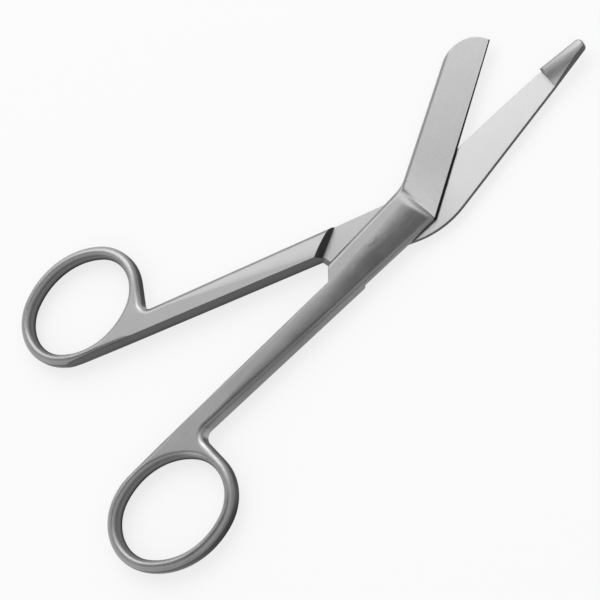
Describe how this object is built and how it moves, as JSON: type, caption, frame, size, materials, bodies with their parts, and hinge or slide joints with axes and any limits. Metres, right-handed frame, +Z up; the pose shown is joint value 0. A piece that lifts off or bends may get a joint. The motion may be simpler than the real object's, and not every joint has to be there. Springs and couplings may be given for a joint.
{
  "type": "bandage scissors",
  "caption": "Angled bandage scissors in satin steel: oval finger rings, lapped screw joint, a blunt round-ended blade and a longer blade with a blunt probe that slides under dressings.",
  "frame": {"origin": "on the pivot axis, at the level the scissors lie on", "axes": "+X along the closing line towards the blade tips, +Z up out of the face seen in the picture"},
  "size_m": [0.1797, 0.1029, 0.0052],
  "materials": {
    "satin_steel": "satin",
    "screw_steel": "satin"
  },
  "bodies": {
    "probe_half": {"probe_blade_half": "satin_steel"},
    "plain_half": {"plain_blade_half": "satin_steel", "pivot_screw": "screw_steel"}
  },
  "joints": [
    {"name": "pivot", "type": "hinge", "parent": "probe_half", "child": "plain_half", "pos_m": [0, 0, 0], "axis": [0, 0, 1], "range_deg": [-23.8, 90]}
  ]
}
